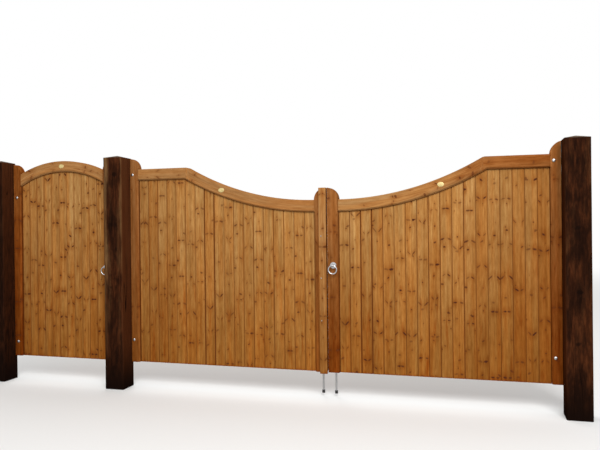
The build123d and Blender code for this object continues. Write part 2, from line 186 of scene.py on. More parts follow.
# Shapes of knots, varied by turns of their own chance. From here on, a run holds its spread and its
# least value, and a step holds where it starts and where it is complete
BOTH_WAYS_RUN = (2.0, -1.0)
LEFT_TURNS = 29.1
RIGHT_TURNS = 53.7
SIZE_TURNS = 17.3
PAIR_PLACE_RUN = (0.65, 0.35)
SIZE_RUN = (0.65, 0.55)
STRENGTH_RUN = (0.65, 0.5)
RAGGED_RUN = (1.3, -0.65)
RIM_STEP = (1.25, 0.5)
HEART_STEP = (0.75, 0.05)
HALO_STEP = (1.7, 0.3)
HALO_SCALE = (0.7, 0.22)
KNOT_PUSH = -0.6

# Growth rings: place and slope of their middle, as turns of the seed and limits, and their lines
ASIDE_TURNS = 7.31
ASIDE_SPREAD = 0.1
BEHIND_TURNS = 13.7
BEHIND_SPREAD = 0.07
BEHIND_LEAST = 0.03
SLOPE_TURNS = 3.9
SLOPE_SPREAD = 0.03
WANDER_SPREAD = 0.024
RING_WIDTH = 0.0046
LATE_WOOD_STEP = (0.35, 0.88)
RING_END_STEP = (1.0, 0.93)

# Layers of noise: turns in a metre across and along, detail and roughness
Layer = namedtuple("Layer", "across along detail roughness", defaults=(2.0, 0.5))
KNOT_RIMS = Layer(85, 70)
RING_LINES = Layer(5, 0.9, 3)
PLANED_STREAKS = Layer(60, 1.2, 3)
PLANED_BANDS = Layer(26, 0.8)
PLANED_PATCHES = Layer(9, 2.6, 3)
PLANED_FIBRES = Layer(420, 9, 3)
PLANED_TEARS = Layer(85, 13, 3, 0.6)
PLANED_HUES = Layer(17, 1.1)
PLANED_FLAMES = Layer(38, 3.6, 5, 0.6)
END_FLAMES = Layer(55, 12)
SAWN_STREAKS = Layer(60, 9, 5, 0.65)
SAWN_FLAMES = Layer(26, 2.2, 5, 0.6)
SAWN_PATCHES = Layer(11, 4.5, 5, 0.6)
SAWN_CLOUDS = Layer(3, 1.4)
SAWN_FIBRES = Layer(300, 14, 3)
SAW_MARKS = Layer(12, 420, 1)
CRACK_LINES = Layer(11, 0.55, 1)
CRACK_PLACES = Layer(5, 1.5, 1)
ZINC_CLOUDS = Layer(38, 38, 3)
ZINC_SCUFFS = Layer(900, 120)
BRASS_CLOUDS = Layer(60, 60, 3)
BRASS_MARKS = Layer(1400, 1400, 1)
RUBBER_DUST = Layer(160, 160, 3)

# Planed wood: how much its layers vary it, how fast red, green and blue fall where the stain is thick,
# its hues, its painted shade towards the foot, and its redder flames, which also rise from the lower ends
BAND_SPREAD = 0.5
PATCH_SPREAD = 0.5
FIBRE_SPREAD = 0.26
STAIN_POWERS = (0.85, 1.15, 1.6)
HUE_STEP = (0.32, 0.68)
FOOT_STEP = (1.75, 0.2)
FLAME_STEP = (0.53, 0.72)
HIGH_FLAME_RUN = (0.75, 0.25)
FLAME_TINT = (0.82, 0.57, 0.36)
END_FLAME_REACH = 0.09
END_FLAME_STEP = (0.29, 0.245)
KNOT_COVER = 0.92
JOINT_STAIN_AND_SHADE_COVER = 0.7
RING_RELIEF = 0.5
FIBRE_RELIEF = 0.6
KNOT_RELIEF = 0.5
PLANED_ROUGH_RUN = (0.16, 0.46)

# Sawn wood, in the order in which its colours are laid on, and its relief
SAWN_RED_STEP = (0.4, 0.66)
WEAR_WEIGHT = 0.18
WORN_STEP = (0.54, 0.78)
WORN_FOOT_STEP = (0.1, 1.4)
SAWN_FIGURE = 0.35
FRESH_RUN = (-0.55, 1.0)
MOTTLE_STEP = (0.46, 0.66)
MOTTLE_COVER = 0.85
CLOUD_STEP = (0.42, 0.66)
CLOUD_COVER = 0.65
SIDEWARD_STEP = (0.5, 0.9)
# Painted light: the posts' side faces are tinted redder and lighter than their fronts
SIDE_LIGHT_RED = 0.9
BLOTCH_RUN = (-2.4, 2.2)
BLACK_FOOT_STEP = (0.45, 0.0)
SAWN_HALO_COVER = 0.45
SAWN_KNOT_COVER = 0.8
SAWN_FIBRE_RUN = (0.8, 0.6)
CRACK_STEP = (0.006, 0.002)
CRACKED_STEP = (0.5, 0.62)
UPWARD_STEP = (0.4, 0.9)
SAW_RELIEF = 0.35
SPLINTER_RELIEF = 0.9
CRACK_RELIEF = 3.0
SAWN_ROUGHNESS = 0.88

# Metals and rubber: spangle, how much it and clouds dull the zinc, tarnish, dust and roughness
SPANGLE_TURNS = 260.0
SPANGLE_DULLING = 0.35
CLOUD_DULLING = 0.6
ZINC_ROUGH_RUN = (0.1, 0.2)
CLOUD_ROUGHNESS = 0.22
TARNISH_STEP = (0.35, 0.75)
BRASS_ROUGH_RUN = (0.2, 0.28)
BRASS_METAL = 0.35
DUST_STEP = (0.45, 0.75)
RUBBER_ROUGHNESS = 0.62

# Bumps, as the height in metres and the strength
PLANED_BUMP = (0.0004, 0.6)
SAWN_BUMP = (0.001, 0.8)
ZINC_BUMP = (0.00008, 0.6)
BRASS_BUMP = (0.00005, 0.5)
RUBBER_BUMP = (0.0003, 0.5)

# Domed heads, as radius, height and height of the rim
COACH_BOLT = (0.013, 0.0066, 0.001)
SCREW = (0.0045, 0.0022, 0.0004)
KEEP_SCREW = (0.0045, 0.0012, 0.0002)
ROSE_SCREW = (0.003, 0.0013, 0.0003)
STRIP_BOLT = (0.0056, 0.0032, 0.0006)

# Profiles of turned pieces, as radius and height. The plaque's are shares of its radius and thickness
WASHER = ((0.012, 0.0), (0.012, 0.0018), (0.0, 0.0018))
NUT = ((0.0085, 0.0018), (0.0092, 0.0026), (0.0092, 0.0078), (0.0083, 0.0086), (0.0, 0.0086))
THREAD = ((0.0048, 0.008), (0.0048, 0.0128), (0.004, 0.0136), (0.0, 0.0136))
PLAQUE_PROFILE = ((1.0, 0.0), (1.0, 0.45), (0.96, 0.72), (0.88, 0.8), (0.84, 0.62), (0.78, 0.66),
                  (0.5, 0.9), (0.0, 1.0))

# Steps of a dome's curve, and sides of the turned pieces
DOME_STEPS = 7
SMALL_SIDES = 16
SCREW_SIDES = 24
BOLT_SIDES = 32
PLAQUE_SIDES = 64
NUT_SIDES = 6

# Plates of the fixings, places of their screws, and the top of the drop bolts' black feet
COACH_BOLT_INSET = {"left_leaf": 0.022, "right_leaf": 0.0505, "side_gate": 0.0335}
BAND_WIDTH = 0.05
BAND_PLATE = 0.007
BAND_SCREWS = (0.11, 0.2, 0.29, 0.38)
SCREW_ASIDE = 0.013
HOOK_PLATE = 0.006
HOOK_HEIGHT = 0.11
HOOK_SPREAD = 0.085
GUIDE_PLATE = 0.004
GUIDE_SCREW_INSET = 0.045
KEEP_PLATE = 0.004
KEEP_SCREWS_LOW = (0.012, 0.024)
KEEP_SCREW_INSET = 0.01
ROSE_ANGLES = (90, 210, 330)
ROSE_CIRCLE = 0.0205
ROSE_PLATE = 0.003
STRIP_SCREW_INSET = 0.0195
STRIP_SCREW_HEIGHTS = (1.333, 0.988, 0.641)
BOLT_FOOT_TOP = 0.052


def colour(red, green, blue):
    """Opaque colour, as written in linear light."""
    return (red, green, blue, 1.0)


WHITE = colour(1.0, 1.0, 1.0)
WARM_TINT = colour(1.045, 0.955, 0.82)
COOL_TINT = colour(0.968, 1.035, 1.12)
HALO_TINT = colour(0.81, 0.7, 0.6)
FLOOR_SEEN = colour(0.8, 0.8, 0.79)
FLOOR_SHED = colour(0.42, 0.41, 0.39)
RUBBER_BLACK = colour(0.008, 0.008, 0.009)
RUBBER_DUSTY = colour(0.035, 0.03, 0.026)


class Nodes:
    """Shader nodes of one material or of the world."""

    def __init__(self, owner):
        """Start without nodes."""
        owner.use_nodes = True
        self.owner = owner
        self.tree = owner.node_tree
        self.tree.nodes.clear()

    def add(self, kind, inputs=None, **settings):
        """New node with its settings, and numbers, colours or other nodes' outputs as its inputs."""
        node = self.tree.nodes.new("ShaderNode" + kind)
        for name, value in settings.items():
            setattr(node, name, value)
        for key, value in (inputs or {}).items():
            if isinstance(value, bpy.types.NodeSocket):
                self.tree.links.new(value, node.inputs[key])
            else:
                node.inputs[key].default_value = value
        return node

    def math(self, operation, a, b=0.0, c=0.0):
        """Number worked out from one, two or three numbers."""
        return self.add("Math", {0: a, 1: b, 2: c}, operation=operation).outputs[0]

    def times(self, a, b):
        """Product of two numbers."""
        return self.math("MULTIPLY", a, b)

    def run(self, value, spread_and_least):
        """Least value of a range, plus this share of its spread."""
        spread, least = spread_and_least
        return self.math("MULTIPLY_ADD", value, spread, least)

    def fraction(self, seed, turns):
        """Random number from 0 to 1 that differs for each seed."""
        return self.math("FRACT", self.times(seed, turns))

    def length(self, a, b):
        """Length of the slanted line over two numbers at right angles."""
        return self.math("SQRT", self.math("MULTIPLY_ADD", a, a, self.times(b, b)))

    def smooth(self, value, start, end):
        """Smooth step from 0, at the start, to 1, at the end."""
        inputs = {0: value, 1: start, 2: end, 3: 0.0, 4: 1.0}
        return self.add("MapRange", inputs, interpolation_type="SMOOTHSTEP").outputs[0]

    def between(self, share, a, b):
        """Number that goes from a, at a share of 0, to b, at 1."""
        return self.add("Mix", {0: share, 2: a, 3: b}, data_type="FLOAT").outputs[0]

    def blend(self, share, a, b):
        """Colour that goes from a, at a share of 0, to b, at 1."""
        return self.add("Mix", {0: share, 6: a, 7: b}, data_type="RGBA").outputs[2]

    def vector(self, operation, a, b):
        """Vector or colour worked out from two of them."""
        return self.add("VectorMath", {0: a, 1: b}, operation=operation).outputs[0]

    def scaled(self, a, scale):
        """Vector or colour times a number."""
        return self.add("VectorMath", {0: a, "Scale": scale}, operation="SCALE").outputs[0]

    def split(self, vector):
        """The three numbers of a vector or colour."""
        return tuple(self.add("SeparateXYZ", {0: vector}).outputs)

    def value_of(self, name):
        """Number that is stored in the piece's points."""
        return self.add("Attribute", attribute_name=name).outputs["Fac"]

    def place(self):
        """Place in the object's own frame."""
        return self.add("TexCoord").outputs["Object"]

    def noise(self, place, layer):
        """Noise from 0 to 1."""
        stretched = self.vector("MULTIPLY", place, (layer.across, layer.across, layer.along))
        inputs = {"Vector": stretched, "Scale": 1.0, "Detail": layer.detail, "Roughness": layer.roughness}
        return self.add("TexNoise", inputs).outputs["Fac"]

    def bump(self, height, distance, strength):
        """Normal of a surface with this relief."""
        return self.add("Bump", {"Height": height, "Distance": distance, "Strength": strength}).outputs[0]

    def surface(self, **inputs):
        """Principled surface, with names such as base_color for its inputs."""
        names = {key.replace("_", " ").title().replace("Ior", "IOR"): value for key, value in inputs.items()}
        shader = self.add("BsdfPrincipled", names)
        self.add("OutputMaterial", {"Surface": shader.outputs[0]})
        return self.owner


def new_material(name):
    """Nodes of a new material."""
    return Nodes(bpy.data.materials.new(name))


def new_timber(name):
    """Nodes of a new timber, its grain, its seed, its place in the pattern, and its height at rest."""
    look = new_material(name)
    grain = look.add("Attribute", attribute_name="grain").outputs["Vector"]
    seed = look.value_of("seed")
    place = look.vector("ADD", grain, look.scaled(GRAIN_SHIFT, seed))
    return look, grain, seed, place, look.split(look.place())[Z]


def knots(look, grain, place, seed, kind, knotty):
    """Knots of one kind along a piece of timber: in each stretch at most one, or a slanted pair.

    Returns how much a point is in a knot and near its heart, how much the wood round it is darkened,
    and how far the grain is pushed aside there."""
    across, _, along = look.split(grain)
    run = look.math("MULTIPLY_ADD", seed, kind.turns, look.math("DIVIDE", along, kind.spacing))
    cell = look.add("TexVoronoi", {"W": run, "Scale": 1.0}, voronoi_dimensions="1D").outputs
    up = look.times(look.math("SUBTRACT", run, cell["W"]), kind.spacing)
    pick, where, tilt = look.split(cell["Color"])
    strength = look.fraction(tilt, LEFT_TURNS)
    if kind.paired:
        side = look.math("ABSOLUTE", across)
        centre = look.times(look.run(where, PAIR_PLACE_RUN), kind.reach)
        right = look.fraction(tilt, RIGHT_TURNS)
        strength = look.between(look.math("GREATER_THAN", across, 0.0), strength, right)
    else:
        side = across
        centre = look.times(look.run(where, BOTH_WAYS_RUN), kind.reach)
    away = look.math("SUBTRACT", side, centre)
    slope = look.times(look.run(tilt, BOTH_WAYS_RUN), kind.lean)
    raised = look.math("MULTIPLY_ADD", away, slope, up)
    size = look.run(look.fraction(where, SIZE_TURNS), SIZE_RUN)
    wide = look.math("DIVIDE", away, look.times(size, kind.wide))
    high = look.math("DIVIDE", raised, look.times(size, kind.high))
    ragged = look.run(look.noise(place, KNOT_RIMS), RAGGED_RUN)
    oval = look.math("ADD", look.length(wide, high), ragged)
    halo = look.length(look.times(wide, HALO_SCALE[0]), look.times(high, HALO_SCALE[1]))
    present = look.math("LESS_THAN", pick, kind.share * knotty)
    strength = look.times(look.run(strength, STRENGTH_RUN), present)
    strength = look.times(strength, look.value_of("bold"))
    inside = look.times(look.smooth(oval, *RIM_STEP), strength)
    heart = look.smooth(oval, *HEART_STEP)
    around = look.times(look.smooth(halo, *HALO_STEP), strength)
    push = look.times(look.times(away, KNOT_PUSH), around)
    return inside, heart, around, push


def growth_rings(look, grain, place, seed, push):
    """Dark late wood of the growth rings, cut lengthwise, from 0 to 1."""
    across, depth, along = look.split(grain)
    aside = look.math("SUBTRACT", look.fraction(seed, ASIDE_TURNS), 0.5)
    wander = look.math("SUBTRACT", look.noise(place, RING_LINES), 0.5)
    slope = look.math("SUBTRACT", look.fraction(seed, SLOPE_TURNS), 0.5)
    across = look.math("MULTIPLY_ADD", aside, ASIDE_SPREAD, look.math("ADD", across, push))
    across = look.math("MULTIPLY_ADD", wander, WANDER_SPREAD, across)
    depth = look.math("ADD", depth, BEHIND_LEAST)
    depth = look.math("MULTIPLY_ADD", look.fraction(seed, BEHIND_TURNS), BEHIND_SPREAD, depth)
    depth = look.math("MULTIPLY_ADD", look.times(slope, SLOPE_SPREAD), along, depth)
    rings = look.math("FRACT", look.math("DIVIDE", look.length(across, depth), RING_WIDTH))
    return look.times(look.smooth(rings, *LATE_WOOD_STEP), look.smooth(rings, *RING_END_STEP))


def softwood(name, pale, deep, late, knot, heart, joint, foot, knotty, figure, streaky, coarse, calm, sheen):
    """Planed softwood under a golden brown stain. Tone runs from deep, at 0, to pale, at 1.

    Knotty, figure, streaky and coarse say how strong the knots, rings, streaks and tears are, and calm
    how much plainer pale wood is."""
    look, grain, seed, place, height = new_timber(name)
    inside = hearts = around = push = 0.0
    for kind in (SPIKE_KNOTS, ROUND_KNOTS, PIN_KNOTS):
        in_knot, near_heart, near_knot, pushed = knots(look, grain, place, seed, kind, knotty)
        hearts = look.between(in_knot, hearts, near_heart)
        inside = look.math("MAXIMUM", inside, in_knot)
        around = look.math("MAXIMUM", around, near_knot)
        push = look.math("ADD", push, pushed)
    rings = growth_rings(look, grain, place, seed, push)
    fibres = look.noise(place, PLANED_FIBRES)

    tone = look.value_of("tone")
    lively = look.run(tone, (-calm, 1.0))
    shade = look.blend(tone, deep, pale)
    shade = look.blend(look.times(look.times(rings, figure), lively), shade, late)
    level = 1.0
    for layer, spread in ((PLANED_STREAKS, streaky), (PLANED_BANDS, BAND_SPREAD),
                          (PLANED_PATCHES, PATCH_SPREAD), (PLANED_FIBRES, FIBRE_SPREAD),
                          (PLANED_TEARS, coarse)):
        share = look.run(look.noise(place, layer), (spread, 1 - spread / 2))
        level = look.times(level, share)
    level = look.between(lively, 1.0, level)
    stain = {axis: look.math("POWER", level, power) for axis, power in enumerate(STAIN_POWERS)}
    shade = look.vector("MULTIPLY", shade, look.add("CombineXYZ", stain).outputs[0])
    tint = look.blend(look.smooth(look.noise(place, PLANED_HUES), *HUE_STEP), WARM_TINT, COOL_TINT)
    shade = look.vector("MULTIPLY", shade, tint)
    # Painted shade: the wood darkens and reddens from the top down towards the foot
    low = look.smooth(height, *FOOT_STEP)
    shade = look.blend(low, shade, look.vector("MULTIPLY", shade, foot))
    flames = look.smooth(look.noise(place, PLANED_FLAMES), *FLAME_STEP)
    flames = look.times(flames, look.run(low, HIGH_FLAME_RUN))
    end = look.math("ADD", height, look.times(look.noise(place, END_FLAMES), END_FLAME_REACH))
    flames = look.math("MAXIMUM", flames, look.smooth(end, *END_FLAME_STEP))
    shade = look.blend(flames, shade, look.vector("MULTIPLY", shade, FLAME_TINT))
    shade = look.vector("MULTIPLY", shade, look.blend(around, WHITE, HALO_TINT))
    shade = look.blend(look.times(inside, KNOT_COVER), shade, look.blend(hearts, knot, heart))
    # The dark share paints joint stain, and painted shade at the boards' outer joints and top ends and on
    # the framing's upright edges
    shade = look.blend(look.times(look.value_of("dark"), JOINT_STAIN_AND_SHADE_COVER), shade, joint)

    relief = look.times(fibres, FIBRE_RELIEF)
    relief = look.math("MULTIPLY_ADD", rings, RING_RELIEF, relief)
    relief = look.math("SUBTRACT", relief, look.times(inside, KNOT_RELIEF))
    return look.surface(base_color=shade, roughness=look.run(fibres, PLANED_ROUGH_RUN),
                        specular_ior_level=sheen, normal=look.bump(relief, *PLANED_BUMP))


def sawn_timber(name, tan, red, deep, black, weathered_and_lit_top):
    """Rough-sawn post under a very dark stain, mottled, with short streaks, cracks and saw marks."""
    look, grain, seed, place, height = new_timber(name)
    inside, _, around, push = knots(look, grain, place, seed, POST_KNOTS, knotty=1.0)
    rings = growth_rings(look, grain, place, seed, push)
    streaks = look.noise(place, SAWN_STREAKS)
    fibres = look.noise(place, SAWN_FIBRES)
    line = look.math("ABSOLUTE", look.math("SUBTRACT", look.noise(place, CRACK_LINES), 0.5))
    cracked = look.smooth(look.noise(place, CRACK_PLACES), *CRACKED_STEP)
    crack = look.times(look.smooth(line, *CRACK_STEP), cracked)
    rightward, _, upward = look.split(look.add("TexCoord").outputs["Normal"])
    sideward = look.smooth(look.math("ABSOLUTE", rightward), *SIDEWARD_STEP)

    wear = look.value_of("tone")
    worn = look.math("MULTIPLY_ADD", wear, WEAR_WEIGHT, look.noise(place, SAWN_FLAMES))
    worn = look.times(look.smooth(worn, *WORN_STEP), look.smooth(height, *WORN_FOOT_STEP))
    fresh = look.run(wear, FRESH_RUN)
    mottled = look.times(look.smooth(look.noise(place, SAWN_PATCHES), *MOTTLE_STEP), MOTTLE_COVER)
    clouded = look.times(look.smooth(look.noise(place, SAWN_CLOUDS), *CLOUD_STEP), CLOUD_COVER)
    shade = look.blend(look.smooth(streaks, *SAWN_RED_STEP), deep, red)
    for share, stain in (
            (look.times(worn, wear), tan),
            (look.times(rings, SAWN_FIGURE), deep),
            (look.times(mottled, fresh), black),
            (look.times(clouded, fresh), black),
            # Painted light on the side faces
            (look.times(sideward, SIDE_LIGHT_RED), red),
            (look.times(look.value_of("dark"), look.run(streaks, BLOTCH_RUN)), black),
            (look.smooth(height, *BLACK_FOOT_STEP), black),
            (look.times(around, SAWN_HALO_COVER), black),
            (look.times(inside, SAWN_KNOT_COVER), black)):
        shade = look.blend(share, shade, stain)
    shade = look.scaled(shade, look.run(fibres, SAWN_FIBRE_RUN))
    shade = look.blend(crack, shade, black)
    # Upward faces turn paler grey-tan: partly weathering, partly painted highlight
    shade = look.blend(look.smooth(upward, *UPWARD_STEP), shade, weathered_and_lit_top)

    relief = look.times(fibres, SPLINTER_RELIEF)
    relief = look.math("MULTIPLY_ADD", look.noise(place, SAW_MARKS), SAW_RELIEF, relief)
    relief = look.math("SUBTRACT", relief, look.times(crack, CRACK_RELIEF))
    return look.surface(base_color=shade, roughness=SAWN_ROUGHNESS, specular_ior_level=0.0,
                        normal=look.bump(relief, *SAWN_BUMP))


def zinc(name, pale, dull):
    """Galvanised steel: soft spangle, small scuffs and a dull sheen."""
    look = new_material(name)
    place = look.place()
    spangle = look.add("TexVoronoi", {"Vector": place, "Scale": SPANGLE_TURNS}, feature="F1")
    crystal, _, _ = look.split(spangle.outputs["Color"])
    cloud = look.noise(place, ZINC_CLOUDS)
    scuffs = look.noise(place, ZINC_SCUFFS)
    dulling = look.math("MULTIPLY_ADD", crystal, SPANGLE_DULLING, look.times(cloud, CLOUD_DULLING))
    rough = look.run(scuffs, ZINC_ROUGH_RUN)
    rough = look.math("MULTIPLY_ADD", cloud, CLOUD_ROUGHNESS, rough)
    relief = look.math("ADD", scuffs, crystal)
    return look.surface(base_color=look.blend(dulling, pale, dull), metallic=1.0, roughness=rough,
                        normal=look.bump(relief, *ZINC_BUMP))


def brass(name, pale, dull):
    """Pale satin brass with faint turning marks and tarnish."""
    look = new_material(name)
    place = look.place()
    cloud = look.noise(place, BRASS_CLOUDS)
    marks = look.noise(place, BRASS_MARKS)
    shade = look.blend(look.smooth(cloud, *TARNISH_STEP), pale, dull)
    return look.surface(base_color=shade, metallic=BRASS_METAL, normal=look.bump(marks, *BRASS_BUMP),
                        roughness=look.run(cloud, BRASS_ROUGH_RUN))


def black_rubber(name):
    """Black moulded feet of the drop bolts, dusty low down."""
    look = new_material(name)
    dust = look.noise(look.place(), RUBBER_DUST)
    shade = look.blend(look.smooth(dust, *DUST_STEP), RUBBER_BLACK, RUBBER_DUSTY)
    return look.surface(base_color=shade, roughness=RUBBER_ROUGHNESS,
                        normal=look.bump(dust, *RUBBER_BUMP))


BOARDING = softwood(
    "boarding", pale=colour(0.428, 0.214, 0.0655), deep=colour(0.292, 0.121, 0.028),
    late=colour(0.27, 0.092, 0.018), knot=colour(0.085, 0.023, 0.009), heart=colour(0.068, 0.02, 0.0105),
    joint=colour(0.155, 0.04, 0.008), foot=(0.81, 0.665, 0.44), knotty=1.0, figure=0.38, streaky=0.78,
    coarse=0.8, calm=0.0, sheen=0.01)
# On the framing, the joint colour paints only the shade on the upright edges
FRAMING = softwood(
    "framing", pale=colour(0.402, 0.2, 0.07), deep=colour(0.218, 0.062, 0.011),
    late=colour(0.2, 0.062, 0.012), knot=colour(0.085, 0.024, 0.009), heart=colour(0.15, 0.042, 0.012),
    joint=colour(0.12, 0.03, 0.006), foot=(0.8, 0.64, 0.4), knotty=0.9, figure=0.62, streaky=1.2,
    coarse=1.1, calm=0.45, sheen=0.0)
POST_TIMBER = sawn_timber(
    "post_timber", tan=colour(0.172, 0.089, 0.035), red=colour(0.08, 0.024, 0.0085),
    deep=colour(0.034, 0.0105, 0.0045), black=colour(0.008, 0.0038, 0.0027),
    weathered_and_lit_top=colour(0.13, 0.095, 0.068))
GALVANISED = zinc("galvanised", pale=colour(0.74, 0.75, 0.76), dull=colour(0.44, 0.45, 0.47))
DULL_ZINC = zinc("dull_zinc", pale=colour(0.5, 0.47, 0.44), dull=colour(0.3, 0.27, 0.25))
BRASS = brass("brass", pale=colour(0.72, 0.57, 0.25), dull=colour(0.56, 0.43, 0.17))
RUBBER = black_rubber("black_rubber")
FINISHES = {"boarding": BOARDING, "framing": FRAMING, "post_timber": POST_TIMBER,
            "galvanised": GALVANISED, "brass": BRASS}


def new_object(name, data):
    """Object in the scene with this mesh, camera or lamp."""
    item = bpy.data.objects.new(name, data)
    bpy.context.scene.collection.objects.link(item)
    return item


def add_piece(name, work, body, slot, materials=None):
    """Turn worked faces into a piece that rides on a body, shaded smoothly with flat faces kept flat."""
    bmesh.ops.recalc_face_normals(work, faces=work.faces)
    mesh = bpy.data.meshes.new(name)
    work.to_mesh(mesh)
    work.free()
    mesh.shade_smooth()
    mesh.set_sharp_from_angle(angle=SHARP_ANGLE)
    for material in materials or [FINISHES[slot]]:
        mesh.materials.append(material)
    piece = new_object(name, mesh)
    piece.modifiers.new("flat_faces", "WEIGHTED_NORMAL").keep_sharp = True
    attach(piece, body)
    return piece


def stand_in(node, suffix, work, materials=None):
    """Piece that takes the place of a node, on the same body and with the same slot."""
    piece = add_piece(node + suffix, work, BODY[node], SLOT[node], materials)
    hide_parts(node)
    return piece


def eased(node, arris):
    """The solids of a node as clean faces, with their sharp edges rounded."""
    work = bmesh.new()
    work.from_mesh(frame["nodes"][node].data)
    bmesh.ops.remove_doubles(work, verts=work.verts, dist=WELD)
    bmesh.ops.dissolve_limit(work, angle_limit=FLAT_ANGLE, verts=work.verts, edges=work.edges)
    sharp = [edge for edge in work.edges if edge.is_manifold and edge.calc_face_angle() > SHARP_ANGLE]
    bmesh.ops.bevel(work, geom=sharp, offset=arris, offset_type="OFFSET", segments=ARRIS_STEPS,
                    profile=0.5, affect="EDGES", clamp_overlap=False)
    return work


def cut_evenly(work, node, axis, step):
    """Cut the faces of a piece at even steps along one axis. Its shape stays the same."""
    lo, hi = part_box(node)
    normal = Vector((0.0, 0.0, 0.0))
    normal[axis] = 1.0
    for place in np.arange(lo[axis] + step / 2, hi[axis], step):
        geometry = work.verts[:] + work.edges[:] + work.faces[:]
        bmesh.ops.bisect_plane(work, geom=geometry, plane_co=normal * float(place), plane_no=normal)


def sliced(work, node):
    """Cut a curved rail at short steps, so that the grain stored at its points follows the curve."""
    cut_evenly(work, node, X, RAIL_STEP)


def sawn(work, node):
    """Make a post's front and sides slightly uneven, as sawn. Its back, foot and top edge stay put."""
    lo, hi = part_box(node)
    for axis, step in SAWN_STEP.items():
        cut_evenly(work, node, axis, step)
    across, along, onward = SAWN_TURNS
    least, most = SAWN_SWELL
    for vertex in work.verts:
        x, y, z = vertex.co
        for axis, face, out in ((X, lo[X], -1), (X, hi[X], 1), (Y, lo[Y], -1)):
            if abs(vertex.co[axis] - face) < 2 * POST_ARRIS:
                beside = (y if axis == X else x) * across
                swell = 0.5 + 0.5 * noise.noise(Vector((beside, z * along, face * onward)))
                vertex.co[axis] += out * (least + (most - least) * swell)


def points_of(mesh):
    """Places of a mesh's points, one row each."""
    flat = np.empty(3 * len(mesh.vertices), dtype=np.float32)
    mesh.vertices.foreach_get("co", flat)
    return flat.reshape(-1, 3)


def store(mesh, name, values):
    """Store a number or a vector for each point of a mesh, or one number for all of them."""
    values = np.asarray(values, dtype=np.float32)
    if values.ndim == 0:
        values = np.full(len(mesh.vertices), values)
    kind, key = ("FLOAT_VECTOR", "vector") if values.ndim == 2 else ("FLOAT", "value")
    mesh.attributes.new(name, kind, "POINT").data.foreach_set(key, values.ravel())


def upright_grain(points, middle):
    """Across, into and along the grain of a piece that stands upright."""
    return points - (middle.x, middle.y, 0.0)


def level_grain(points, middle):
    """The same for a piece that lies level."""
    return (points - (0.0, middle.y, middle.z))[:, (Z, Y, X)]


def sloped_grain(points, middle, slope):
    """The same for a piece that rises at this angle."""
    away = points - tuple(middle)
    along = away[:, X] * cos(slope) + away[:, Z] * sin(slope)
    across = away[:, Z] * cos(slope) - away[:, X] * sin(slope)
    return np.stack((across, away[:, Y], along), axis=1)


def curved_grain(points, centre, radius, depth_from):
    """The same for a piece bent to an arc in the gate's plane, about a centre given as (x, z)."""
    away = points[:, (X, Z)] - centre
    distance = np.hypot(away[:, 0], away[:, 1])
    turn = np.arctan2(away[:, 0], np.abs(away[:, 1]))
    return np.stack((distance - radius, points[:, Y] - depth_from, turn * radius), axis=1)


def swan_neck_grain(node):
    """Grain of a drive leaf's top rail: level beside the hinges, then round the hollow curve."""
    lo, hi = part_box(node)
    stile_lo, stile_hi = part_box(node.replace("top_rail", "hanging_stile"))
    hinge_left = stile_lo[X] < lo[X]
    hinge, low_end, side = (stile_lo[X], hi[X], 1) if hinge_left else (stile_hi[X], lo[X], -1)
    kink = hinge + side * FLAT_LENGTH
    drop = hi[Z] - lo[Z] - RAIL_DEPTH
    run = abs(low_end - kink)
    radius = (run**2 + drop**2) / (2 * drop)
    centre = (low_end, hi[Z] - drop + radius)
    flat = Vector((0.0, (lo[Y] + hi[Y]) / 2, hi[Z] - RAIL_DEPTH / 2))

    def grain(points, middle):
        """Level grain up to the kink, bent grain beyond it."""
        level = level_grain(points, flat)
        bent = curved_grain(points, centre, radius + RAIL_DEPTH / 2, middle.y) * (-1.0, 1.0, 1.0)
        straight = side * (points[:, X] - kink) < 0
        return np.where(straight[:, None], level, bent)

    return grain


def arched_grain(node):
    """Grain of the side gate's top rail, round its arch."""
    lo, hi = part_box(node)
    centre = ((lo[X] + hi[X]) / 2, hi[Z] - SIDE_ARCH_RADIUS)
    return lambda points, middle: curved_grain(points, centre, SIDE_ARCH_RADIUS - RAIL_DEPTH / 2, middle.y)


def brace_grain(node):
    """Grain of the braces of one leaf, which rise away from the hinges."""
    lo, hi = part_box(node)
    stile_lo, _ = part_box(node.replace("braces", "hanging_stile"))
    slope = atan2((hi[Z] - lo[Z]) / 2, hi[X] - lo[X])
    if stile_lo[X] > lo[X]:
        slope = -slope
    return lambda points, middle: sloped_grain(points, middle, slope)


CURVED_RAILS = {"left_leaf_top_rail": swan_neck_grain, "right_leaf_top_rail": swan_neck_grain,
                "side_gate_arched_rail": arched_grain}


def fading(node, axis, *values):
    """Function for values at even steps along a piece, from one end of its box to the other."""
    lo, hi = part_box(node)
    places = np.linspace(lo[axis], hi[axis], len(values))
    return lambda points: np.interp(points[:, axis], places, values)


def shaded_sides(node):
    """Painted shade on the upright edges of a piece, where they stand in narrow gaps and corners; none on
    its face and back.
    """
    lo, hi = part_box(node)
    return lambda points: ((points[:, X] < lo[X] + WELD) | (points[:, X] > hi[X] - WELD)).astype(float)


def timber(node, grain, tone, seed, arris=FRAME_ARRIS, dark=0.0, shape=None):
    """Timber in place of a node, with its arrises eased and its grain's directions stored in it.

    Tone and dark are numbers, or functions that give one for each point."""
    work = eased(node, arris)
    if shape:
        shape(work, node)
    mesh = stand_in(node, "_timber", work).data
    lo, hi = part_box(node)
    points = points_of(mesh)
    store(mesh, "grain", grain(points, (Vector(lo) + Vector(hi)) / 2))
    store(mesh, "seed", seed)
    store(mesh, "bold", KNOT_BOLDNESS)
    for name, value in (("tone", tone), ("dark", dark)):
        store(mesh, name, value(points) if callable(value) else value)


def dress_posts():
    """The three posts. Tone says how much of the stain has worn to tan."""
    for node in POSTS:
        wear = fading(node, X, *POST_WEAR[node])
        black = fading(node, Z, *POST_BLACK[node])
        timber(node, upright_grain, wear, POST_SEEDS[node], POST_ARRIS, black, sawn)


